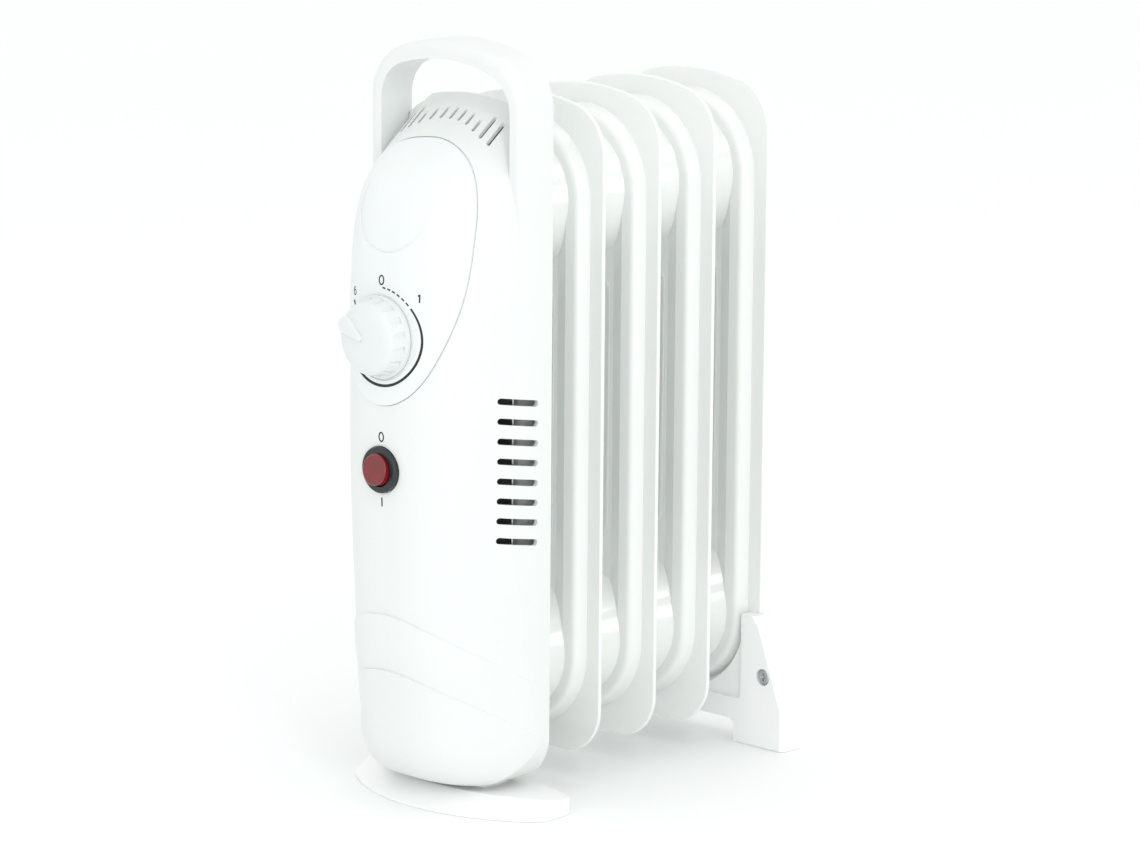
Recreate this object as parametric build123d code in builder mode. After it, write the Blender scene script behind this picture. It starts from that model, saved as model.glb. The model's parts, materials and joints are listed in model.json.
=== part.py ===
from build123d import *
import os
from math import acos, cos, degrees, radians, sin, sqrt

# Small oil-filled radiator: five pressed steel fins joined by two oil headers, a moulded control
# housing with a carrying arch, a crescent front foot and a clamped two-part rear foot.
#
# Frame, in millimetres: +X to the right of somebody facing the controls, -Y towards them, +Z up.
# The origin is on the floor under the middle of the overall width and depth. Depths below are
# counted from a plane a little in front of that middle, and save() moves each piece onto it.

os.makedirs("parts", exist_ok=True)

# ---------------------------------------------------------------- driving dimensions
overall_depth = 249.2
overall_height = 377.4
overall_width = 146.0

fin_count = 5
fin_pitch = 40.7
fin_1_y = -43.6
fin_half_width = 50.0
fin_bottom = 15.5
fin_top = 347.4
fin_crown_radius = 130.0
fin_corner_radius = 26.0
fin_heel_radius = 24.0
sheet = 1.1

header_inset = 51.3
header_low = fin_bottom + header_inset
header_high = fin_top - header_inset
chamber_half_width = 42.0
chamber_height = 7.5
web_height = 3.0
crest_half_width = 31.0
web_half_width = 21.5
hub_root_radius = 32.5
hub_radius = 22.5
hub_bore = 17.0
end_hub_height = 12.0
hub_front = fin_1_y - end_hub_height
stamp_middle = 184.2
stamp_length = 134.0
stamp_width = 36.0

wall = 2.2
housing_half_width = 52.6
side_overrun = 0.15
housing_bottom = 10.4
housing_top = 350.0
housing_rear = -42.7
face_thickness = 3.0
side_radius = 92.0
bow_depth = 20.5
bow_power = 3.1
apron_rise = 0.9

arch_thickness = 9.0
arch_front = -64.0
arch_crown_radius = 110.0
arch_corner_radius = 28.0

knob_height = 237.6
knob_radius = 20.3
foot_rear = 127.0
knob_front = foot_rear - overall_depth
knob_rear = -107.6
dome_front = -120.6
pointer_angle = 152.0
seat_radius = 21.6
seat_y = -107.2
dish_lean = 1.3
panel_rise = 0.8
panel_seat = 1.0
panel_gap = 0.15

switch_height = 171.7
bezel_radius = 11.5
button_radius = 7.8
switch_face = -109.6
bezel_seat = -106.5
rocker_pivot = -108.0
rocker_tilt = 10.0

plate_y = -63.5
plate_thickness = 1.0
block_height = 122.0
plate_screw_points = ((-36, 75), (36, 75), (-32, 290), (32, 290))

side_vent_count = 8
side_vent_pitch = 9.9
side_vent_top = 205.8
side_vent_y = -63.1
gland_height = 40.0
gland_seat = -50.8

foot_height = 8.4
foot_offset = 7.0
foot_screw_points = ((-20, -56), (20, -56))
clamp_y = fin_1_y + fin_pitch * (fin_count - 1)
clamp_thickness = 8.4
clamp_arc = 43.5
clamp_outline = ((-73, 0), (-73, 21.7), (-57.5, 64), (-54, 68.5), (54, 68.5), (57.5, 64), (73, 21.7), (73, 0))
clamp_screw_points = ((-58.4, 37.4), (58.4, 37.4))


def save(piece, name):
    """Centre one finished piece's depth on the frame, label it and write it as its own STEP file."""
    placed = piece.part.moved(Location((0, overall_depth / 2 - foot_rear, 0)))
    placed.label = name
    export_step(placed, f"parts/{name}.step")


def across(y):
    """The upright plane at one depth, facing whoever stands at the controls."""
    return Plane.XZ.offset(-y)


def rods(plane, radius, length, *centres):
    """Round bars of one radius standing on a plane at each of its own centres."""
    with BuildPart() as bars:
        with BuildSketch(plane):
            with Locations(*centres):
                Circle(radius)
        extrude(amount=length)
    return bars.part


def nuts(plane, across_flats, length, *centres):
    """Hexagons of one size standing on a plane at each of its own centres."""
    with BuildPart() as hexagons:
        with BuildSketch(plane):
            with Locations(*centres):
                RegularPolygon(across_flats / 2, 6, major_radius=False)
        extrude(amount=length)
    return hexagons.part


# ---------------------------------------------------------------- shared outlines
def crowned_face(half_width, bottom, top, crown, corner, heel):
    """Tall face with a crowned top (a wide arc blended into two corner arcs) and rounded heels."""
    reach = half_width - corner
    corner_z = top - crown + sqrt((crown - corner) ** 2 - reach**2)
    turn = degrees(acos(reach / (crown - corner)))
    with BuildSketch() as outline:
        with BuildLine():
            Line((half_width, bottom + heel), (half_width, corner_z))
            CenterArc((reach, corner_z), corner, 0, turn)
            CenterArc((0, top - crown), crown, turn, 180 - 2 * turn)
            CenterArc((-reach, corner_z), corner, 180 - turn, turn)
            Line((-half_width, corner_z), (-half_width, bottom + heel))
            CenterArc((heel - half_width, bottom + heel), heel, 180, 90)
            Line((heel - half_width, bottom), (half_width - heel, bottom))
            CenterArc((half_width - heel, bottom + heel), heel, 270, 90)
        make_face()
    return outline.sketch


def fin_face(grow=0.0):
    """The rim of a fin, or the same rim grown evenly outwards."""
    return crowned_face(
        fin_half_width + grow,
        fin_bottom - grow,
        fin_top + grow,
        fin_crown_radius + grow,
        fin_corner_radius + grow,
        fin_heel_radius + grow,
    )


def egg_face(grow=0.0):
    """The egg-shaped fascia: broad at the top, narrow at the bottom, the same on both sides."""
    lean = 0.7 * grow
    side = (
        (17.0 + lean, 328.4 + lean),
        (29.2 + lean, 321.0 + lean),
        (37.2 + grow, 307.0 + lean),
        (39.4 + grow, 288.0),
        (38.0 + grow, 260.6),
        (31.2 + grow, 232.7 - lean),
        (18.1 + lean, 210.9 - lean),
    )
    other_side = [(-x, z) for x, z in reversed(side)]
    with BuildSketch() as outline:
        with BuildLine():
            Spline((0, 331.0 + grow), *side, (0, 203.8 - grow), *other_side, periodic=True)
        make_face()
    return outline.sketch


# ---------------------------------------------------------------- fins
def formed_body(gauge, hub_height):
    """Raised part of a pressing, facing -Y: its outer face, or the oil space one gauge inside it."""
    level = chamber_height - gauge
    web = web_height - gauge
    spread = (hub_root_radius - hub_radius) / (fin_pitch / 2 - chamber_height)
    with BuildPart() as body:
        with BuildSketch(Plane.XZ):
            with Locations((0, (header_low + header_high) / 2)):
                SlotCenterToCenter(header_high - header_low, 2 * (chamber_half_width - gauge), rotation=90)
        extrude(amount=level, taper=25)
        fillet(body.faces().sort_by(Axis.Y)[0].edges(), 3.6)
        with BuildSketch(Plane.XZ.offset(web)):
            with Locations((0, (header_low + header_high) / 2)):
                Rectangle(2 * web_half_width, header_high - header_low)
        with BuildSketch(Plane.XZ.offset(level + 1)):
            with Locations((0, (header_low + header_high) / 2)):
                Rectangle(2 * crest_half_width + 4, header_high - header_low)
        loft(mode=Mode.SUBTRACT)
        for height in (header_low, header_high):
            with BuildSketch(Plane.XZ.offset(web - 0.4)):
                with Locations((0, height)):
                    Circle(hub_root_radius - gauge + spread * (level - web + 0.4))
            with BuildSketch(Plane.XZ.offset(max(hub_height, level + 0.1))):
                with Locations((0, height)):
                    Circle(hub_root_radius - gauge - spread * (max(hub_height, level + 0.1) - level))
            loft()
    return body


def pressing(hub_height, low_bore, high_bore):
    """One steel pressing, facing -Y: flat rim, hollow oil channels and headers, stamped web."""
    open_hubs = low_bore == hub_bore
    with BuildPart() as space:
        add(formed_body(sheet, hub_height + 1 if open_hubs else hub_height - sheet).part)
        with BuildSketch(Plane.XZ):
            with Locations((0, stamp_middle)):
                RectangleRounded(stamp_width + 2 * sheet, stamp_length + 2 * sheet, 9.0 + sheet)
        extrude(amount=chamber_height, mode=Mode.SUBTRACT)
    with BuildPart() as shell:
        with BuildSketch(Plane.XZ):
            add(fin_face())
        extrude(amount=sheet)
        fillet(shell.faces().sort_by(Axis.Y)[0].edges(), 0.7)
        add(formed_body(0, hub_height).part)
        with BuildSketch(Plane.XZ.offset(sheet)):
            with Locations((0, stamp_middle)):
                RectangleRounded(stamp_width, stamp_length, 9.0)
        extrude(amount=web_height, mode=Mode.SUBTRACT)
        add(space.part, mode=Mode.SUBTRACT)
        for height, bore in ((header_low, low_bore), (header_high, high_bore)):
            if bore:
                with BuildSketch(Plane.XZ):
                    with Locations((0, height)):
                        Circle(bore)
                extrude(amount=fin_pitch, mode=Mode.SUBTRACT)
    return shell


joined_pressing = pressing(fin_pitch / 2, hub_bore, hub_bore)
first_pressing = pressing(end_hub_height, 14.0, 7.0)
last_pressing = pressing(chamber_height, 0, 0)

for index in range(fin_count):
    fin_y = fin_1_y + index * fin_pitch
    front_source = first_pressing if index == 0 else joined_pressing
    rear_source = last_pressing if index == fin_count - 1 else joined_pressing
    with BuildPart() as fin_front:
        add(front_source.part.moved(Location((0, fin_y, 0))))
    save(fin_front, f"fin_{index + 1}_front_pressing")
    with BuildPart() as fin_rear:
        add(rear_source.part.mirror(Plane.XZ).moved(Location((0, fin_y, 0))))
    save(fin_rear, f"fin_{index + 1}_rear_pressing")


# ---------------------------------------------------------------- control housing
# Height and Y of the front face on the centre line, from the underside to behind the dome.
front_profile = (
    (5.0, -60.0),
    (10.4, -76.0),
    (15.0, -88.0),
    (22.0, -94.0),
    (34.0, -97.6),
    (60.0, -100.3),
    (100.0, -103.9),
    (140.0, -106.2),
    (180.0, -107.3),
    (225.0, -107.1),
    (265.0, -105.9),
    (290.0, -102.8),
    (305.0, -97.6),
    (314.0, -91.0),
    (322.0, -82.5),
    (335.0, -66.0),
    (350.0, -46.0),
    (360.0, -32.0),
)


def bow(x):
    """How far the front face falls back at a distance from the centre line."""
    return bow_depth * (abs(x) / 40.0) ** bow_power


def face_body(inset):
    """Everything behind the bowed front face, with that face moved back by inset."""
    stations = (-62, -50, -38, -25, -12, 0, 12, 25, 38, 50, 62)
    with BuildPart() as body:
        for height, y in front_profile:
            with BuildSketch(Plane.XY.offset(height)):
                with BuildLine():
                    brow = Spline(*[(x, y + inset + bow(x)) for x in stations])
                    Polyline(brow @ 1, (62, 60), (-62, 60), brow @ 0)
                make_face()
        loft()
    return body


def flank_body(inset):
    """The housing in plan: two long side arcs that close in towards the front."""
    half = housing_half_width - inset
    radius = side_radius - inset
    turn = 30.0
    end_x = half - radius * (1 - cos(radians(turn)))
    end_y = housing_rear - radius * sin(radians(turn))
    nose_x = end_x - 14.0
    nose_y = end_y - 24.0
    with BuildPart() as body:
        with BuildSketch():
            with BuildLine():
                Line((half, housing_rear + 5), (half, housing_rear))
                CenterArc((half - radius, housing_rear), radius, 0, -turn)
                Polyline((end_x, end_y), (nose_x, nose_y), (-nose_x, nose_y), (-end_x, end_y))
                CenterArc((radius - half, housing_rear), radius, 180 + turn, -turn)
                Polyline((-half, housing_rear), (-half, housing_rear + 5), (half, housing_rear + 5))
            make_face()
        extrude(amount=400)
    return body


def crown_body(inset, rear):
    """The housing's outline from the front: rounded heels and a crowned top, up to a rear plane."""
    with BuildPart() as body:
        with BuildSketch(Plane.XZ.offset(-rear)):
            add(
                crowned_face(
                    housing_half_width + side_overrun - inset,
                    housing_bottom + inset,
                    housing_top - inset,
                    fin_crown_radius + 2.6 - inset,
                    fin_corner_radius + 2.6 - inset,
                    25.0 - inset,
                )
            )
        extrude(amount=100)
    return body


def below_arc(half_span, end_height, crown_height):
    """Everything lower than a crowned line across the front."""
    with BuildPart() as body:
        with BuildSketch(Plane.XZ.offset(30)):
            with BuildLine():
                ThreePointArc((-half_span, end_height), (0, crown_height), (half_span, end_height))
                Polyline((half_span, end_height), (70, 0), (-70, 0), (-half_span, end_height))
            make_face()
        extrude(amount=120)
    return body


def apron(rise, end_height, crown_height):
    """One lap of the stepped lower front: the face moved out a little, below a crowned line."""
    with BuildPart() as lap:
        add(face_body(-rise).part)
        add(below_arc(56, end_height, crown_height).part, mode=Mode.INTERSECT)
    return lap


with BuildPart() as housing_outer:
    add(face_body(0).part)
    add(apron(apron_rise, 52.0, 98.3).part)
    add(apron(2 * apron_rise, 26.0, 70.0).part)
    add(flank_body(0).part, mode=Mode.INTERSECT)
    add(crown_body(0, housing_rear).part, mode=Mode.INTERSECT)

with BuildPart() as housing_inner:
    add(face_body(face_thickness).part)
    add(flank_body(wall).part, mode=Mode.INTERSECT)
    add(crown_body(wall, housing_rear + 4).part, mode=Mode.INTERSECT)

with BuildPart() as carrying_arch:
    with BuildSketch(across(housing_rear)):
        add(
            crowned_face(
                housing_half_width + side_overrun,
                275,
                overall_height,
                arch_crown_radius,
                arch_corner_radius,
                5,
            )
        )
    extrude(amount=housing_rear - arch_front)
    fillet(carrying_arch.faces().sort_by(Axis.Y)[0].edges(), 5.5)
    with BuildSketch(across(housing_rear)):
        add(
            crowned_face(
                housing_half_width - arch_thickness,
                265,
                overall_height - arch_thickness,
                arch_crown_radius - arch_thickness,
                arch_corner_radius - arch_thickness,
                5,
            )
        )
    extrude(amount=40, mode=Mode.SUBTRACT)
    add(flank_body(0).part, mode=Mode.INTERSECT)

with BuildPart() as screw_bosses:
    add(rods(across(plate_y), 3.6, 34, *plate_screw_points))
    add(housing_outer.part, mode=Mode.INTERSECT)

with BuildPart() as panel_recess:
    with BuildSketch(across(-60)):
        add(egg_face(0.35))
    extrude(amount=70)
    add(face_body(panel_seat).part, mode=Mode.SUBTRACT)

with BuildPart() as seam_clearance:
    with BuildSketch(across(fin_1_y - sheet - 0.4)):
        add(fin_face(0.35))
    extrude(amount=-5)

with BuildPart() as housing_shell:
    add(housing_outer.part)
    add(carrying_arch.part)
    add(housing_inner.part, mode=Mode.SUBTRACT)
    add(seam_clearance.part, mode=Mode.SUBTRACT)
    add(screw_bosses.part)
    add(rods(across(plate_y), 1.95, 14, *plate_screw_points), mode=Mode.SUBTRACT)
    add(panel_recess.part, mode=Mode.SUBTRACT)
    add(rods(across(-95), 4.8, 30, (0, knob_height)), mode=Mode.SUBTRACT)
    add(rods(across(-95), 10.1, 30, (0, switch_height)), mode=Mode.SUBTRACT)
    add(rods(across(bezel_seat), bezel_radius + 0.3, 10, (0, switch_height)), mode=Mode.SUBTRACT)
    with BuildSketch(Plane.YZ.offset(-70)):
        with Locations((-57, gland_height)):
            Circle(7.0)
    extrude(amount=30, mode=Mode.SUBTRACT)
    with BuildSketch(Plane.YZ.offset(-70)):
        with Locations((-57, gland_height)):
            Circle(9.4)
    extrude(amount=70 + gland_seat, mode=Mode.SUBTRACT)
    for row in range(side_vent_count):
        with BuildSketch(Plane.YZ.offset(-70)):
            with Locations((side_vent_y, side_vent_top - row * side_vent_pitch)):
                SlotOverall(23.2, 3.2, rotation=-8.8)
        extrude(amount=140, mode=Mode.SUBTRACT)
    with BuildSketch(Plane.XY.offset(325)):
        for step in range(-3, 4):
            with Locations((6.1 * step, -57.2 - 0.35 * step**2)):
                SlotOverall(7.0, 1.8, rotation=90)
        with Locations((-29.4, -58.6), (-24.1, -58.6), (24.1, -58.6), (29.4, -58.6)):
            SlotOverall(12.4, 2.0, rotation=90)
    extrude(amount=31, mode=Mode.SUBTRACT)
    add(rods(Plane.XY, 2.2, 16, *foot_screw_points), mode=Mode.SUBTRACT)
save(housing_shell, "housing_shell")

with BuildPart() as badge_dish:
    with BuildSketch(across(-80)):
        with Locations((0, 301)):
            Ellipse(23.5, 22.5)
    extrude(amount=40)
    add(
        face_body(-panel_rise).part.rotate(Axis((0, -105, 322), (1, 0, 0)), dish_lean),
        mode=Mode.SUBTRACT,
    )

with BuildPart() as fascia_panel:
    with BuildSketch(across(-60)):
        add(egg_face())
    extrude(amount=70)
    add(face_body(-panel_rise).part, mode=Mode.INTERSECT)
    add(rods(across(-95), seat_radius, -95 - seat_y, (0, knob_height)))
    add(rods(across(seat_y), seat_radius, 5, (0, knob_height)), mode=Mode.SUBTRACT)
    add(face_body(panel_seat - panel_gap).part, mode=Mode.SUBTRACT)
    add(rods(across(-95), 4.8, 30, (0, knob_height)), mode=Mode.SUBTRACT)
    add(badge_dish.part, mode=Mode.SUBTRACT)
save(fascia_panel, "fascia_panel")

# ---------------------------------------------------------------- thermostat and its knob
with BuildPart() as knob:
    with BuildSketch(Plane.YZ):
        with BuildLine():
            Polyline(
                (dome_front, knob_height),
                (knob_rear, knob_height),
                (knob_rear, knob_height + knob_radius),
                (knob_rear - 1.8, knob_height + knob_radius),
                (knob_rear - 2.2, knob_height + knob_radius - 0.7),
                (knob_rear - 8.8, knob_height + knob_radius - 2.4),
            )
            Bezier(
                (knob_rear - 8.8, knob_height + knob_radius - 2.4),
                (knob_rear - 12.2, knob_height + knob_radius - 3.4),
                (dome_front, knob_height + 11.0),
                (dome_front, knob_height),
            )
        make_face()
    revolve(axis=Axis((0, 0, knob_height), (0, 1, 0)))
    with BuildSketch(across(knob_rear - 2.6)):
        with Locations((0, knob_height)):
            with PolarLocations(knob_radius + 0.5, 16, start_angle=11.25):
                Circle(2.3)
    extrude(amount=16, taper=-7, mode=Mode.SUBTRACT)
    with BuildSketch(across(knob_rear - 8)):
        with Locations((0, knob_height)):
            with PolarLocations(12.4, 1, start_angle=pointer_angle):
                Circle(5.2)
            with PolarLocations(1.5, 1, start_angle=pointer_angle):
                Circle(2.6)
        make_hull()
    extrude(amount=knob_rear - 8 - knob_front, taper=10)
    fillet(knob.faces().sort_by(Axis.Y)[0].edges(), 0.9)
    add(rods(across(knob_rear + 1), 8.0, 5.4, (0, knob_height)), mode=Mode.SUBTRACT)
    add(rods(across(knob_rear), 3.02, 10.3, (0, knob_height)), mode=Mode.SUBTRACT)
save(knob, "knob")

with BuildPart() as knob_spindle:
    add(rods(across(-88), 3.0, 29.5, (0, knob_height)))
save(knob_spindle, "knob_spindle")

with BuildPart() as thermostat_body:
    with BuildSketch(across(-76)):
        with Locations((0, knob_height)):
            RectangleRounded(28, 20, 2)
    extrude(amount=22)
    add(rods(across(-98), 8.0, 5.6, (0, knob_height)))
    add(rods(across(-98), 4.5, 12, (0, knob_height)))
    add(rods(across(-86), 3.05, 26, (0, knob_height)), mode=Mode.SUBTRACT)
    with BuildSketch(across(-70)):
        with Locations((-8, knob_height + 4), (8, knob_height + 4)):
            Rectangle(6.3, 0.8)
    extrude(amount=6)
save(thermostat_body, "thermostat_body")

with BuildPart() as thermostat_nut:
    add(nuts(across(seat_y), 10, 2.3, (0, knob_height)))
    add(rods(across(seat_y), 4.5, 3, (0, knob_height)), mode=Mode.SUBTRACT)
save(thermostat_nut, "thermostat_nut")

# ---------------------------------------------------------------- illuminated rocker switch
with BuildPart() as switch_housing:
    add(rods(across(bezel_seat), bezel_radius, bezel_seat - switch_face, (0, switch_height)))
    fillet(switch_housing.faces().sort_by(Axis.Y)[0].edges(), 1.0)
    add(rods(across(-88), 9.8, 19, (0, switch_height)))
    add(rods(across(-94), 8.3, 20, (0, switch_height)), mode=Mode.SUBTRACT)
    with BuildSketch(Plane.YZ.offset(-10.0)):
        with Locations((rocker_pivot, switch_height)):
            Circle(1.05)
    extrude(amount=20, mode=Mode.SUBTRACT)
save(switch_housing, "switch_housing")

with BuildPart() as rocker_upright:
    add(rods(across(-106.4), button_radius, 6.4, (0, switch_height)))
    fillet(rocker_upright.faces().sort_by(Axis.Y)[0].edges(), 0.9)
    with BuildSketch(across(-102)):
        with Locations((0, switch_height)):
            RectangleRounded(8.0, 9.0, 1.5)
    extrude(amount=5)
    with BuildSketch(Plane.YZ.offset(-9.6)):
        with Locations((rocker_pivot, switch_height)):
            Circle(1.0)
    extrude(amount=19.2)

with BuildPart() as rocker_button:
    add(
        rocker_upright.part.rotate(
            Axis((0, rocker_pivot, switch_height), (1, 0, 0)), -rocker_tilt
        )
    )
save(rocker_button, "rocker_button")

with BuildPart() as neon_lamp:
    add(rods(across(-94), 2.2, 4, (0, switch_height)))
    fillet(neon_lamp.faces().sort_by(Axis.Y)[0].edges(), 1.5)
save(neon_lamp, "neon_lamp")

with BuildPart() as switch_terminals:
    with BuildSketch(across(-79)):
        with Locations((-5, switch_height), (0, switch_height), (5, switch_height)):
            Rectangle(0.8, 6.3)
    extrude(amount=9)
save(switch_terminals, "switch_terminals")

# ---------------------------------------------------------------- heating element and plate
with BuildPart() as mounting_plate:
    with BuildSketch(across(plate_y + plate_thickness)):
        add(crowned_face(46.0, 60, 312, 100, 30, 10))
        with Locations((0, header_low)):
            Circle(13.6, mode=Mode.SUBTRACT)
        with Locations((0, header_high)):
            Circle(4.1, mode=Mode.SUBTRACT)
        with Locations(*plate_screw_points):
            Circle(2.2, mode=Mode.SUBTRACT)
    extrude(amount=plate_thickness)
save(mounting_plate, "mounting_plate")

with BuildPart() as heating_element:
    with BuildLine():
        Line((-9, -58, header_low), (-9, 94, header_low))
        ThreePointArc((-9, 94, header_low), (0, 103, header_low), (9, 94, header_low))
        Line((9, 94, header_low), (9, -58, header_low))
    with BuildSketch(across(-58)):
        with Locations((-9, header_low)):
            Circle(4.0)
    sweep()
save(heating_element, "heating_element")

with BuildPart() as element_flange:
    add(rods(across(hub_front), 19.0, 3.5, (0, header_low)))
    add(rods(across(hub_front + 6), 13.5, 16.5, (0, header_low)))
    for side in (-9, 9):
        add(rods(across(-40), 4.05, 18.1, (side, header_low)), mode=Mode.SUBTRACT)
save(element_flange, "element_flange")

with BuildPart() as element_lock_nut:
    add(nuts(across(plate_y), 36, 2.6, (0, header_low)))
    add(rods(across(plate_y), 13.5, 4, (0, header_low)), mode=Mode.SUBTRACT)
save(element_lock_nut, "element_lock_nut")

with BuildPart() as element_terminals:
    for side in (-9, 9):
        add(rods(across(hub_front - 10.5), 3.2, 4, (side, header_low)))
        add(rods(across(hub_front - 14.5), 1.5, 6, (side, header_low)))
save(element_terminals, "element_terminals")

with BuildPart() as plug_washer:
    add(rods(across(hub_front), 11.0, 1.0, (0, header_high)))
    add(rods(across(hub_front), 7.2, 1.0, (0, header_high)), mode=Mode.SUBTRACT)
save(plug_washer, "plug_washer")

with BuildPart() as oil_plug:
    add(rods(across(hub_front + 7), 6.9, 8, (0, header_high)))
    add(nuts(across(hub_front - 1), 20, 5.9, (0, header_high)))
    add(rods(across(plate_y + plate_thickness), 4.0, 6, (0, header_high)))
save(oil_plug, "oil_plug")

with BuildPart() as plug_nut:
    add(nuts(across(plate_y), 13, 3.2, (0, header_high)))
    add(rods(across(plate_y), 4.0, 4, (0, header_high)), mode=Mode.SUBTRACT)
save(plug_nut, "plug_nut")

with BuildPart() as thermal_cutout:
    add(rods(across(plate_y), 8.0, 5, (-18, 205)))
    add(rods(across(plate_y - 5), 6.0, 4, (-18, 205)))
    with BuildSketch(across(plate_y - 9)):
        with Locations((-18, 201.5), (-18, 208.5)):
            Rectangle(6.3, 0.8)
    extrude(amount=6)
save(thermal_cutout, "thermal_cutout")

with BuildPart() as terminal_block:
    with BuildSketch(across(plate_y)):
        with Locations((0, block_height)):
            RectangleRounded(34, 14, 1.5)
    extrude(amount=11)
    with BuildSketch(across(plate_y - 12)):
        with Locations((-10, block_height), (0, block_height), (10, block_height)):
            Circle(2.6)
    extrude(amount=-4, mode=Mode.SUBTRACT)
save(terminal_block, "terminal_block")

with BuildPart() as plate_screws:
    add(rods(across(plate_y + plate_thickness), 1.9, 13, *plate_screw_points))
    add(rods(across(plate_y + plate_thickness + 2.2), 3.6, 2.2, *plate_screw_points))
save(plate_screws, "plate_screws")

with BuildPart() as cord_gland:
    with BuildSketch(Plane.YZ.offset(gland_seat - 3.2)):
        with Locations((-57, gland_height)):
            Circle(9.0)
    extrude(amount=3.2)
    with BuildSketch(Plane.YZ.offset(gland_seat)):
        with Locations((-57, gland_height)):
            Circle(6.8)
    extrude(amount=8)
    with BuildSketch(Plane.YZ.offset(gland_seat - 4)):
        with Locations((-57, gland_height)):
            Circle(3.6)
    extrude(amount=14, mode=Mode.SUBTRACT)
save(cord_gland, "cord_gland")

for name, offset in (("wire_live", -2.5), ("wire_neutral", 0), ("wire_earth", 2.5)):
    start = (-42.0, -57.0 + offset, gland_height)
    with BuildPart() as wire:
        with BuildLine():
            Spline(
                start,
                (-26.0, -68.0 + offset, 62.0),
                (-24.0, -70.0 + offset, 90.0),
                (4 * offset, -70.0, block_height - 7.3),
                tangents=[(1, 0, 0), (0, 0, 1)],
            )
        with BuildSketch(Plane(origin=start, z_dir=(1, 0, 0))):
            Circle(0.9)
        sweep()
    save(wire, name)

# ---------------------------------------------------------------- front foot
def crescent(front_x, front_y, apex_y, rear_x, rear_y, hollow_y, front_corner, rear_corner):
    """Foot outline in plan: a bulging front edge, short sides and a hollowed rear edge."""
    with BuildSketch() as outline:
        with BuildLine():
            ThreePointArc((-front_x, front_y), (0, apex_y), (front_x, front_y))
            Line((front_x, front_y), (rear_x, rear_y))
            ThreePointArc((rear_x, rear_y), (0, hollow_y), (-rear_x, rear_y))
            Line((-rear_x, rear_y), (-front_x, front_y))
        make_face()
        fillet(outline.vertices().group_by(Axis.Y)[0], front_corner)
        fillet(outline.vertices().group_by(Axis.Y)[-1], rear_corner)
    return outline.sketch.moved(Location((foot_offset, 0, 0)))


with BuildPart() as front_foot:
    with BuildSketch():
        add(crescent(66.0, -67.6, -92.9, 64.6, -46.0, -34.0, 11.0, 7.0))
    extrude(amount=1.5)
    with BuildSketch(Plane.XY.offset(1.5)):
        add(crescent(66.0, -67.6, -92.9, 64.6, -46.0, -34.0, 11.0, 7.0))
    with BuildSketch(Plane.XY.offset(foot_height)):
        add(crescent(65.2, -55.2, -76.3, 64.0, -46.4, -36.0, 4.2, 4.2))
    loft()
    with BuildSketch(Plane.XY.offset(foot_height)):
        with Locations((0, -56.15)):
            RectangleRounded(59, 18.7, 4)
    extrude(amount=housing_bottom - foot_height)
    add(rods(Plane.XY, 4.2, 3.6, *foot_screw_points), mode=Mode.SUBTRACT)
    add(rods(Plane.XY, 2.2, 12, *foot_screw_points), mode=Mode.SUBTRACT)
save(front_foot, "front_foot")

with BuildPart() as foot_screws:
    add(rods(Plane.XY.offset(1.4), 3.8, 2.2, *foot_screw_points))
    add(rods(Plane.XY.offset(1.4), 2.0, 16, *foot_screw_points))
save(foot_screws, "foot_screws")

with BuildPart() as foot_nuts:
    add(nuts(Plane.XY.offset(housing_bottom + wall), 7, 3.2, *foot_screw_points))
    add(rods(Plane.XY.offset(12), 2.05, 6, *foot_screw_points), mode=Mode.SUBTRACT)
save(foot_nuts, "foot_nuts")

# ---------------------------------------------------------------- rear foot
def clamp_half(thickness):
    """Half of the rear foot, standing on the parting plane and facing -Y."""
    with BuildPart() as half:
        with BuildSketch(Plane.XZ):
            Polygon(*clamp_outline, align=None)
        extrude(amount=thickness)
        flanks = [edge for edge in half.faces().sort_by(Axis.Y)[0].edges() if abs(edge.center().X) > 50]
        chamfer(flanks, 2.6)
        with BuildSketch(Plane.XZ):
            with Locations((0, header_low)):
                Circle(clamp_arc)
            with Locations((0, 0)):
                RectangleRounded(78, 24, 4)
        extrude(amount=thickness, mode=Mode.SUBTRACT)
        with BuildSketch(Plane.XZ):
            add(fin_face(0.3))
        extrude(amount=sheet, mode=Mode.SUBTRACT)
    return half


with BuildPart() as rear_foot_front_half:
    add(clamp_half(clamp_thickness).part.moved(Location((0, clamp_y, 0))))
    with BuildSketch(across(clamp_y - clamp_thickness + 2.5)):
        with Locations((0, 50)):
            RectangleRounded(87, 54, 4)
    extrude(amount=10, mode=Mode.SUBTRACT)
    add(rods(across(clamp_y + 1), 2.2, 12, *clamp_screw_points), mode=Mode.SUBTRACT)
    add(rods(across(clamp_y - 5.4), 4.4, 12, *clamp_screw_points), mode=Mode.SUBTRACT)
save(rear_foot_front_half, "rear_foot_front_half")

with BuildPart() as rear_foot_rear_half:
    add(clamp_half(foot_rear - clamp_y).part.mirror(Plane.XZ).moved(Location((0, clamp_y, 0))))
    add(rods(across(foot_rear + 1), 2.2, 12, *clamp_screw_points), mode=Mode.SUBTRACT)
    add(nuts(across(foot_rear + 1), 7.6, 4.6, *clamp_screw_points), mode=Mode.SUBTRACT)
save(rear_foot_rear_half, "rear_foot_rear_half")

with BuildPart() as clamp_screws:
    add(rods(across(clamp_y - 5.4), 3.75, 2.4, *clamp_screw_points))
    fillet(clamp_screws.faces().sort_by(Axis.Y)[:2].edges(), 1.0)
    add(rods(across(foot_rear - 0.6), 2.0, foot_rear - 0.6 - clamp_y + 6.4, *clamp_screw_points))
    with BuildSketch(across(clamp_y - 6.6)):
        with Locations(*clamp_screw_points):
            Rectangle(4.2, 0.8)
            Rectangle(0.8, 4.2)
    extrude(amount=4, mode=Mode.SUBTRACT)
save(clamp_screws, "clamp_screws")

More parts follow.
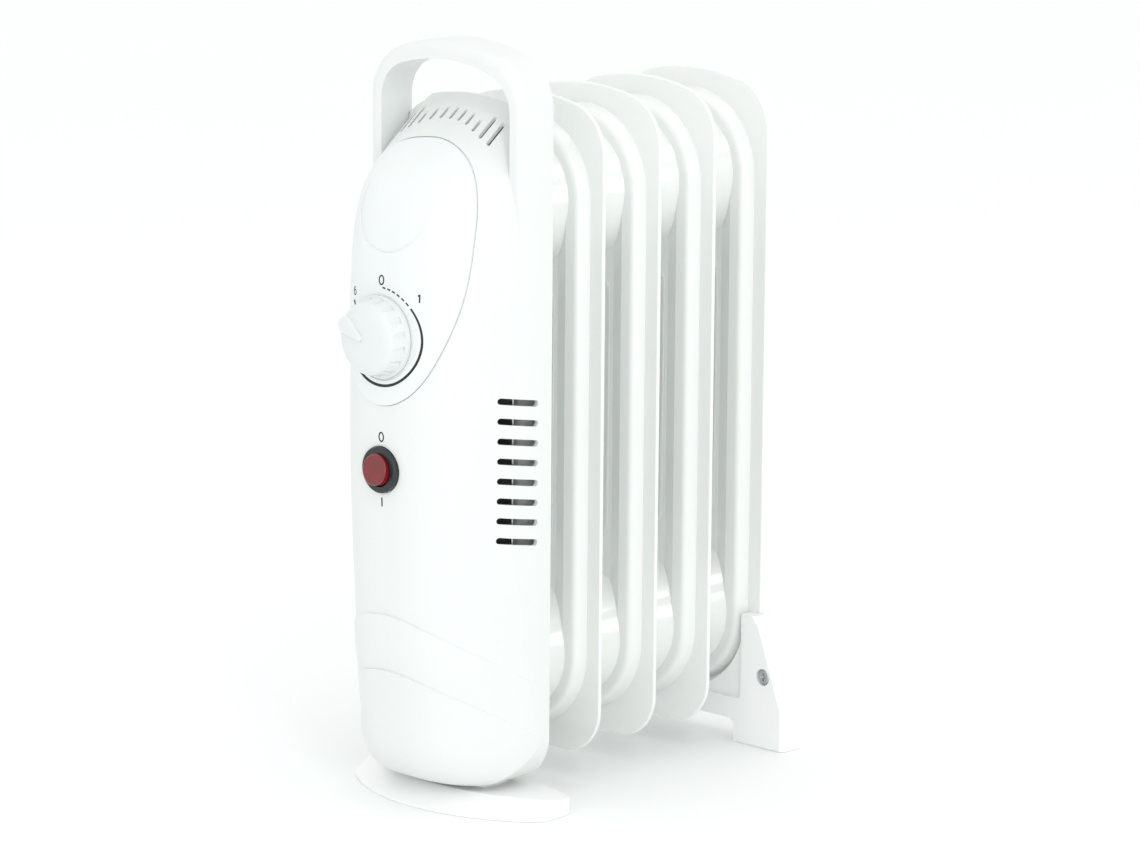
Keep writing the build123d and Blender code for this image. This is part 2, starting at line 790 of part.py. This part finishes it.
with BuildPart() as clamp_nuts:
    add(nuts(across(foot_rear - 0.4), 7, 3.2, *clamp_screw_points))
    add(rods(across(foot_rear + 1), 2.05, 6, *clamp_screw_points), mode=Mode.SUBTRACT)
save(clamp_nuts, "clamp_nuts")
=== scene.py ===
import json
import math

import bmesh
import bpy
from mathutils import Matrix, Vector
from mathutils.bvhtree import BVHTree


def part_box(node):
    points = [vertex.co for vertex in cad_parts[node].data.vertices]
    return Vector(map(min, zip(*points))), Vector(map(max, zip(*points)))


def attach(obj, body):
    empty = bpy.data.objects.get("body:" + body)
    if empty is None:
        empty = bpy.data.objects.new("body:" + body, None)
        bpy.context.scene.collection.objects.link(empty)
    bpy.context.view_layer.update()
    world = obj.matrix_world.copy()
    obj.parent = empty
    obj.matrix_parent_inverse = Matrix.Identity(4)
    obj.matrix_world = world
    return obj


# A small oil-filled radiator: its materials, printed marks, hub seams, stamped edges, studio and camera.
# Lengths are in metres in the part's own frame: +X right, -Y towards the controls, +Z up.

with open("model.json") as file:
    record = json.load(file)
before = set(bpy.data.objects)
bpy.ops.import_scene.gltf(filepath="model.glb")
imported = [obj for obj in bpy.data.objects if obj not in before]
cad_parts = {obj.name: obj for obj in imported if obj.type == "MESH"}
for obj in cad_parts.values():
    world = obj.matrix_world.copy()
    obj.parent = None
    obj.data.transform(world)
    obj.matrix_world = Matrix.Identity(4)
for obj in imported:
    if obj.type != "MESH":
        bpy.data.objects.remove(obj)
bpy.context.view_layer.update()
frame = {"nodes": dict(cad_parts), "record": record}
scene = bpy.context.scene
MM = 0.001
NOISE_LOW = 0.3
NOISE_HIGH = 0.7
ROUGHNESS_DRIFT = 0.15


# ---------------------------------------------------------------- materials
def noise(nodes, links, place, scale, detail):
    """A noise texture in object coordinates."""
    texture = nodes.new("ShaderNodeTexNoise")
    texture.inputs["Scale"].default_value = scale
    texture.inputs["Detail"].default_value = detail
    links.new(place.outputs["Object"], texture.inputs["Vector"])
    return texture


def material(name, base, rough, shade, patch, grain, bump, depth, **sockets):
    """Principled material whose colour and roughness drift in soft patches, with a fine surface grain.

    shade is how much darker the dark patches are, patch and grain are the two noises' scales, and
    bump and depth are the grain's strength and height. Other sockets are set by name.
    """
    made = bpy.data.materials.new(name)
    made.use_nodes = True
    nodes = made.node_tree.nodes
    links = made.node_tree.links
    surface = nodes["Principled BSDF"]
    place = nodes.new("ShaderNodeTexCoord")
    patches = noise(nodes, links, place, patch, 5.0)
    tint = nodes.new("ShaderNodeValToRGB")
    dark, light = tint.color_ramp.elements
    dark.position = NOISE_LOW
    light.position = NOISE_HIGH
    dark.color = (*[max(0.0, c * (1 - shade)) for c in base], 1)
    light.color = (*[min(1.0, c * (1 + shade * 0.4)) for c in base], 1)
    links.new(patches.outputs["Fac"], tint.inputs["Fac"])
    links.new(tint.outputs["Color"], surface.inputs["Base Color"])
    gloss = nodes.new("ShaderNodeMapRange")
    gloss.inputs["From Min"].default_value = NOISE_LOW
    gloss.inputs["From Max"].default_value = NOISE_HIGH
    gloss.inputs["To Min"].default_value = rough * (1 - ROUGHNESS_DRIFT)
    gloss.inputs["To Max"].default_value = min(1.0, rough * (1 + ROUGHNESS_DRIFT))
    links.new(patches.outputs["Fac"], gloss.inputs["Value"])
    links.new(gloss.outputs["Result"], surface.inputs["Roughness"])
    fine = noise(nodes, links, place, grain, 2.0)
    relief = nodes.new("ShaderNodeBump")
    relief.inputs["Strength"].default_value = bump
    relief.inputs["Distance"].default_value = depth
    links.new(fine.outputs["Fac"], relief.inputs["Height"])
    links.new(relief.outputs["Normal"], surface.inputs["Normal"])
    for socket, value in sockets.items():
        surface.inputs[socket.replace("_", " ")].default_value = value
    return made


def moulded(name, base, rough, shade, patch, grain, bump, depth, subsurface):
    """A white moulding plastic that lets a little light in."""
    return material(name, base, rough, shade, patch, grain, bump, depth,
                    Subsurface_Weight=subsurface, Subsurface_Scale=0.002)


def metal(name, base, rough, shade, patch, grain, bump, depth):
    """A bare or plated metal."""
    return material(name, base, rough, shade, patch, grain, bump, depth, Metallic=1.0)


def insulation(name, base, shade):
    """The coloured sleeve of one wire."""
    return material(name, base, 0.42, shade, 200.0, 1500.0, 0.1, 0.00004)


ENAMEL_WHITE = (0.835, 0.855, 0.84)
HOUSING_WHITE = (0.765, 0.785, 0.775)
MATERIALS = {
    "enamel_steel": material("baked_enamel", ENAMEL_WHITE, 0.15, 0.02, 9.0, 260.0, 0.08, 0.0002,
                             Coat_Weight=0.8, Coat_Roughness=0.06),
    "white_plastic": moulded("housing_plastic", HOUSING_WHITE, 0.38, 0.015, 8.0, 1400.0, 0.10, 0.00008, 0.04),
    "panel_plastic": moulded("panel_plastic", (0.775, 0.80, 0.80),
                             0.34, 0.015, 10.0, 1500.0, 0.08, 0.00006, 0.04),
    "knob_plastic": moulded("knob_plastic", (0.72, 0.75, 0.75),
                             0.22, 0.015, 30.0, 700.0, 0.05, 0.00005, 0.06),
    "foot_plastic": moulded("foot_plastic", (0.90, 0.91, 0.905),
                             0.36, 0.02, 12.0, 1300.0, 0.10, 0.00008, 0.04),
    "black_plastic": material("bezel_plastic", (0.018, 0.021, 0.025), 0.30, 0.2, 60.0, 1500.0, 0.15, 0.00006),
    "red_plastic": material("red_lens", (0.25, 0.006, 0.010), 0.16, 0.25, 120.0, 500.0, 0.08, 0.00008,
                            Transmission_Weight=0.25, Coat_Weight=0.5),
    "lamp_glass": material("lamp_glass", (0.9, 0.45, 0.25), 0.08, 0.1, 80.0, 500.0, 0.02, 0.00004,
                           Transmission_Weight=0.8),
    "brass": metal("brass", (0.72, 0.55, 0.24), 0.28, 0.12, 120.0, 900.0, 0.10, 0.00005),
    "zinc_steel": metal("zinc_plate", (0.58, 0.59, 0.60), 0.34, 0.10, 90.0, 700.0, 0.12, 0.00006),
    "bright_screw": metal("bright_screw", (0.62, 0.63, 0.64), 0.20, 0.10, 150.0, 900.0, 0.10, 0.00005),
    "element_steel": metal("element_sheath", (0.30, 0.29, 0.28), 0.45, 0.25, 60.0, 700.0, 0.2, 0.0001),
    "copper_washer": metal("soft_copper", (0.70, 0.36, 0.22), 0.30, 0.15, 120.0, 800.0, 0.1, 0.00005),
    "dark_phenolic": material("phenolic", (0.035, 0.024, 0.018), 0.5, 0.3, 90.0, 900.0, 0.3, 0.0001),
    "block_plastic": material("terminal_block", (0.62, 0.62, 0.58), 0.45, 0.06, 60.0, 900.0, 0.15, 0.00008),
    "gland_plastic": material("gland_plastic", (0.74, 0.76, 0.75), 0.42, 0.04, 60.0, 1200.0, 0.15, 0.00008),
    "brown_wire": insulation("brown_insulation", (0.16, 0.07, 0.03), 0.15),
    "blue_wire": insulation("blue_insulation", (0.03, 0.10, 0.38), 0.15),
    "green_wire": insulation("green_insulation", (0.22, 0.42, 0.05), 0.25),
}
INK = material("printed_ink", (0.012, 0.013, 0.015), 0.55, 0.3, 400.0, 2500.0, 0.10, 0.00002)
FLOOR = material("studio_floor", (0.93, 0.94, 0.94), 0.7, 0.004, 2.0, 40.0, 0.02, 0.0001)

for part in frame["record"]["subparts"]:
    node = frame["nodes"][part["node"]]
    node.data.materials.clear()
    node.data.materials.append(MATERIALS[part["material_slot"]])


# ---------------------------------------------------------------- laying thin pieces on the CAD surfaces
RIBBON_ROOT = -0.05 * MM
INK_HEIGHT = 0.07 * MM


def add_piece(bm, name, surface):
    """Turn a mesh under construction into a piece that rides with the heater."""
    bmesh.ops.recalc_face_normals(bm, faces=bm.faces)
    mesh = bpy.data.meshes.new(name)
    bm.to_mesh(mesh)
    bm.free()
    piece = bpy.data.objects.new(name, mesh)
    scene.collection.objects.link(piece)
    mesh.materials.append(surface)
    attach(piece, "heater")
    return piece


def skin_of(node_name):
    """Search tree over one CAD node's surface."""
    node = frame["nodes"][node_name]
    corners = [node.matrix_world @ v.co for v in node.data.vertices]
    return BVHTree.FromPolygons(corners, [tuple(p.vertices) for p in node.data.polygons])


def on_skin(tree, x, z, lift, side):
    """The point on the front (side -1) or rear (side 1) surface at one X and Z, lifted outwards."""
    hit = tree.ray_cast(Vector((x, side * 0.2, z)), Vector((0, -side, 0)))[0]
    return Vector((x, hit.y + side * lift, z))


def ribbon(bm, tree, spine, widths, height=INK_HEIGHT, side=-1):
    """A closed, very thin ribbon laid along a line of (x, z) points, with a width at each."""
    rings = []
    for i, (x, z) in enumerate(spine):
        before = Vector(spine[max(i - 1, 0)])
        after = Vector(spine[min(i + 1, len(spine) - 1)])
        along = (after - before).normalized()
        across = Vector((-along.y, along.x)) * widths[i] / 2
        left = (x + across.x, z + across.y)
        right = (x - across.x, z - across.y)
        corners = ((left, height), (right, height), (right, RIBBON_ROOT), (left, RIBBON_ROOT))
        rings.append([bm.verts.new(on_skin(tree, *point, lift, side)) for point, lift in corners])
    for ring, following in zip(rings, rings[1:]):
        for k in range(4):
            bm.faces.new((ring[k], ring[(k + 1) % 4], following[(k + 1) % 4], following[k]))
    bm.faces.new(rings[0][::-1])
    bm.faces.new(rings[-1])


def arc_points(cx, cz, radius_x, radius_z, start, end, count):
    """Points on an ellipse, with angles in degrees clockwise from the top as seen from the front."""
    points = []
    for i in range(count + 1):
        angle = math.radians(start + (end - start) * i / count)
        points.append((cx + radius_x * math.sin(angle), cz + radius_z * math.cos(angle)))
    return points


def even(spine, width):
    """A stroke of one width."""
    return spine, [width] * len(spine)


# ---------------------------------------------------------------- printed marks
DIAL_RADIUS = 24.0 * MM
DASH_WIDTH = 0.75 * MM
DASH_COUNT = 6
FIRST_DASH = 1.0
DASH_PITCH = 7.8
DASH_SWEEP = 4.8
ARC_START = 49
ARC_END = 246
ARC_STEPS = 90
ARC_THIN = 0.9
ARC_SWELL = 0.8
LARGE_MARK = 4.4 * MM
SMALL_MARK = 4.0 * MM
BAR_WIDTH = 0.85 * MM
HIGH_TICK = ((-21.6, 14.8, 1.7), (-20.6, 13.0, 1.1), (-19.6, 11.2, 0.4))


def axis_height(node_name):
    """The Z of the middle of one CAD node."""
    low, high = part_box(node_name)
    return (low[2] + high[2]) / 2


def ink_piece(name, strokes, node_name):
    """One printed mark, made of ribbon strokes laid on a CAD surface."""
    tree = skin_of(node_name)
    bm = bmesh.new()
    for spine, widths in strokes:
        ribbon(bm, tree, spine, widths)
    add_piece(bm, name, INK)


def zero_mark(x, z, size):
    """A nought."""
    return [even(arc_points(x, z, size * 0.34, size * 0.5, 0, 360, 24), size * 0.17)]


def one_mark(x, z, size):
    """A plain upright one with its flag."""
    stem = [(x, z - size * 0.5), (x, z), (x, z + size * 0.5)]
    flag = [(x - size * 0.22, z + size * 0.28), (x - size * 0.02, z + size * 0.46)]
    return [even(stem, size * 0.17), even(flag, size * 0.15)]


def six_mark(x, z, size):
    """A six: a closed bowl with a stem curving over it."""
    bowl = arc_points(x, z - size * 0.18, size * 0.28, size * 0.30, 0, 360, 24)
    stem = arc_points(x + size * 0.12, z - size * 0.1, size * 0.40, size * 0.60, 270, 352, 10)
    return [even(bowl, size * 0.15), even(stem, size * 0.15)]


knob_z = axis_height("knob_spindle")
switch_z = axis_height("neon_lamp")

dashes = []
for step in range(DASH_COUNT):
    start = FIRST_DASH + DASH_PITCH * step
    dash = arc_points(0, knob_z, DIAL_RADIUS, DIAL_RADIUS, start, start + DASH_SWEEP, 4)
    dashes.append(even(dash, DASH_WIDTH))
ink_piece("dial_dashes", dashes, "fascia_panel")

sweep = arc_points(0, knob_z, DIAL_RADIUS, DIAL_RADIUS, ARC_START, ARC_END, ARC_STEPS)
swell = [(ARC_THIN + ARC_SWELL * i / ARC_STEPS) * MM for i in range(ARC_STEPS + 1)]
ink_piece("dial_arc", [(sweep, swell)], "fascia_panel")

ink_piece("dial_off_mark", zero_mark(-0.5 * MM, knob_z + 27.6 * MM, LARGE_MARK), "fascia_panel")
ink_piece("dial_low_mark", one_mark(22.4 * MM, knob_z + 21.0 * MM, SMALL_MARK), "fascia_panel")
ink_piece("dial_high_mark", six_mark(-21.0 * MM, knob_z + 19.5 * MM, SMALL_MARK), "fascia_panel")
tick_spine = [(x * MM, knob_z + rise * MM) for x, rise, width in HIGH_TICK]
ink_piece("dial_high_tick", [(tick_spine, [width * MM for x, rise, width in HIGH_TICK])], "fascia_panel")
ink_piece("switch_off_mark", zero_mark(0, switch_z + 16.2 * MM, LARGE_MARK), "housing_shell")
bar_spine = [(0, switch_z - drop * MM) for drop in (18.4, 16.2, 14.0)]
ink_piece("switch_on_mark", [even(bar_spine, BAR_WIDTH)], "housing_shell")


# ---------------------------------------------------------------- seams between the fins' hubs
HUB_RADIUS = 22.5 * MM
SEAM_REACH = 0.55 * MM
SEAM_HEIGHT = 0.9 * MM
SEAM_WOBBLE = 0.006
RING_COLUMNS = 96


def turned_piece(name, profile, centre, wobble):
    """A closed ring turned about an axis along Y, from (radius, y) points, with a slight hand-made wobble."""
    bm = bmesh.new()
    columns = []
    for i in range(RING_COLUMNS):
        angle = 2 * math.pi * i / RING_COLUMNS
        stray = 1 + wobble * (math.sin(7 * angle) + 0.6 * math.sin(17 * angle + 1.3)) / 2
        columns.append([bm.verts.new((centre[0] + r * stray * math.sin(angle), centre[1] + y,
                                      centre[2] + r * stray * math.cos(angle))) for r, y in profile])
    count = len(profile)
    for near, far in zip(columns, columns[1:] + columns[:1]):
        for k in range(count):
            bm.faces.new((near[k], near[(k + 1) % count], far[(k + 1) % count], far[k]))
    for face in bm.faces:
        face.smooth = True
    add_piece(bm, name, MATERIALS["enamel_steel"])


def round_section(radius, reach, height, count=14):
    """A rounded ring section around one radius: reach outwards and inwards, height along Y."""
    return [(radius + reach * math.cos(2 * math.pi * i / count), height * math.sin(2 * math.pi * i / count))
            for i in range(count)]


low_axis = axis_height("heating_element")
high_axis = axis_height("oil_plug")
seam = round_section(HUB_RADIUS, SEAM_REACH, SEAM_HEIGHT)
for gap in range(1, 5):
    seam_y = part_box(f"fin_{gap}_rear_pressing")[1][1]
    for level_name, axis_z in (("low", low_axis), ("high", high_axis)):
        turned_piece(f"hub_seam_{gap}_{level_name}", seam, (0, seam_y, axis_z), SEAM_WOBBLE)


# ---------------------------------------------------------------- stamped edges of the fin webs
STAMP_MIDDLE = (low_axis + high_axis) / 2 + 2.65 * MM
STAMP_HALF_LENGTH = 67.0 * MM
STAMP_HALF_WIDTH = 18.5 * MM
STAMP_CORNER = 7.0 * MM
STAMP_BAND = 1.5 * MM
STAMP_HEIGHT = 0.4 * MM


def panel_outline(half_width, low, high, corner, steps=6):
    """A rounded rectangle as a closed line of (x, z) points."""
    centres = ((half_width - corner, high - corner), (half_width - corner, low + corner),
               (corner - half_width, low + corner), (corner - half_width, high - corner))
    points = []
    for quarter, (x, z) in enumerate(centres):
        points += arc_points(x, z, corner, corner, 90 * quarter, 90 * quarter + 90, steps)
    return points + points[:1]


stamp_line = panel_outline(STAMP_HALF_WIDTH, STAMP_MIDDLE - STAMP_HALF_LENGTH,
                           STAMP_MIDDLE + STAMP_HALF_LENGTH, STAMP_CORNER)
for fin in range(1, 6):
    for side_name, side in (("front", -1), ("rear", 1)):
        bm = bmesh.new()
        tree = skin_of(f"fin_{fin}_{side_name}_pressing")
        ribbon(bm, tree, *even(stamp_line, STAMP_BAND), STAMP_HEIGHT, side)
        add_piece(bm, f"stamp_edge_{fin}_{side_name}", MATERIALS["enamel_steel"])


# ---------------------------------------------------------------- floor and light
FLOOR_REACH = 14.0
FLOOR_DROP = 0.2 * MM

floor_corners = [(x * FLOOR_REACH, y * FLOOR_REACH, 0) for x, y in ((-1, -1), (1, -1), (1, 1), (-1, 1))]
floor_mesh = bpy.data.meshes.new("floor")
floor_mesh.from_pydata(floor_corners, [], [(0, 1, 2, 3)])
floor = bpy.data.objects.new("floor", floor_mesh)
scene.collection.objects.link(floor)
floor.location.z = -FLOOR_DROP
floor_mesh.materials.append(FLOOR)

world = bpy.data.worlds.new("studio")
scene.world = world
world.use_nodes = True
world.node_tree.nodes["Background"].inputs["Color"].default_value = (0.985, 1.0, 0.995, 1)
world.node_tree.nodes["Background"].inputs["Strength"].default_value = 1.06


def softbox(name, place, target, width, height, watts):
    """A rectangular studio light looking at a point."""
    data = bpy.data.lights.new(name, "AREA")
    data.shape = "RECTANGLE"
    data.size = width
    data.size_y = height
    data.energy = watts
    lamp = bpy.data.objects.new(name, data)
    scene.collection.objects.link(lamp)
    lamp.location = place
    lamp.rotation_euler = (Vector(target) - Vector(place)).to_track_quat("-Z", "Y").to_euler()


softbox("key_light", (0.5, -1.9, 1.3), (0, 0, 0.18), 1.2, 1.0, 1.6)
softbox("side_light", (1.7, -1.3, 0.45), (0, 0.04, 0.16), 0.8, 0.7, 5.5)
softbox("strip_light", (1.5, -0.9, 1.6), (0, 0.04, 0.16), 0.3, 0.7, 4.0)
softbox("top_light", (0.3, 0.3, 2.0), (0, 0, 0.2), 0.9, 0.6, 1.5)


# ---------------------------------------------------------------- camera
CAMERA_PLACE = Vector((1.7398, -1.8386, 0.7121))
AZIMUTH = math.radians(43.04)
ELEVATION = math.radians(11.95)
ROLL = math.radians(0.46)
LENS = 163.0
SENSOR = 36.0

back = Vector((math.sin(AZIMUTH) * math.cos(ELEVATION), -math.cos(AZIMUTH) * math.cos(ELEVATION),
               math.sin(ELEVATION)))
level = Vector((math.cos(AZIMUTH), math.sin(AZIMUTH), 0))
upright = back.cross(level)
right = math.cos(ROLL) * level + math.sin(ROLL) * upright
up = math.cos(ROLL) * upright - math.sin(ROLL) * level
camera_data = bpy.data.cameras.new("camera")
camera_data.sensor_width = SENSOR
camera_data.lens = LENS
camera = bpy.data.objects.new("camera", camera_data)
scene.collection.objects.link(camera)
camera.matrix_world = Matrix.Translation(CAMERA_PLACE) @ Matrix((right, up, back)).transposed().to_4x4()
scene.camera = camera
scene.view_settings.view_transform = "Standard"
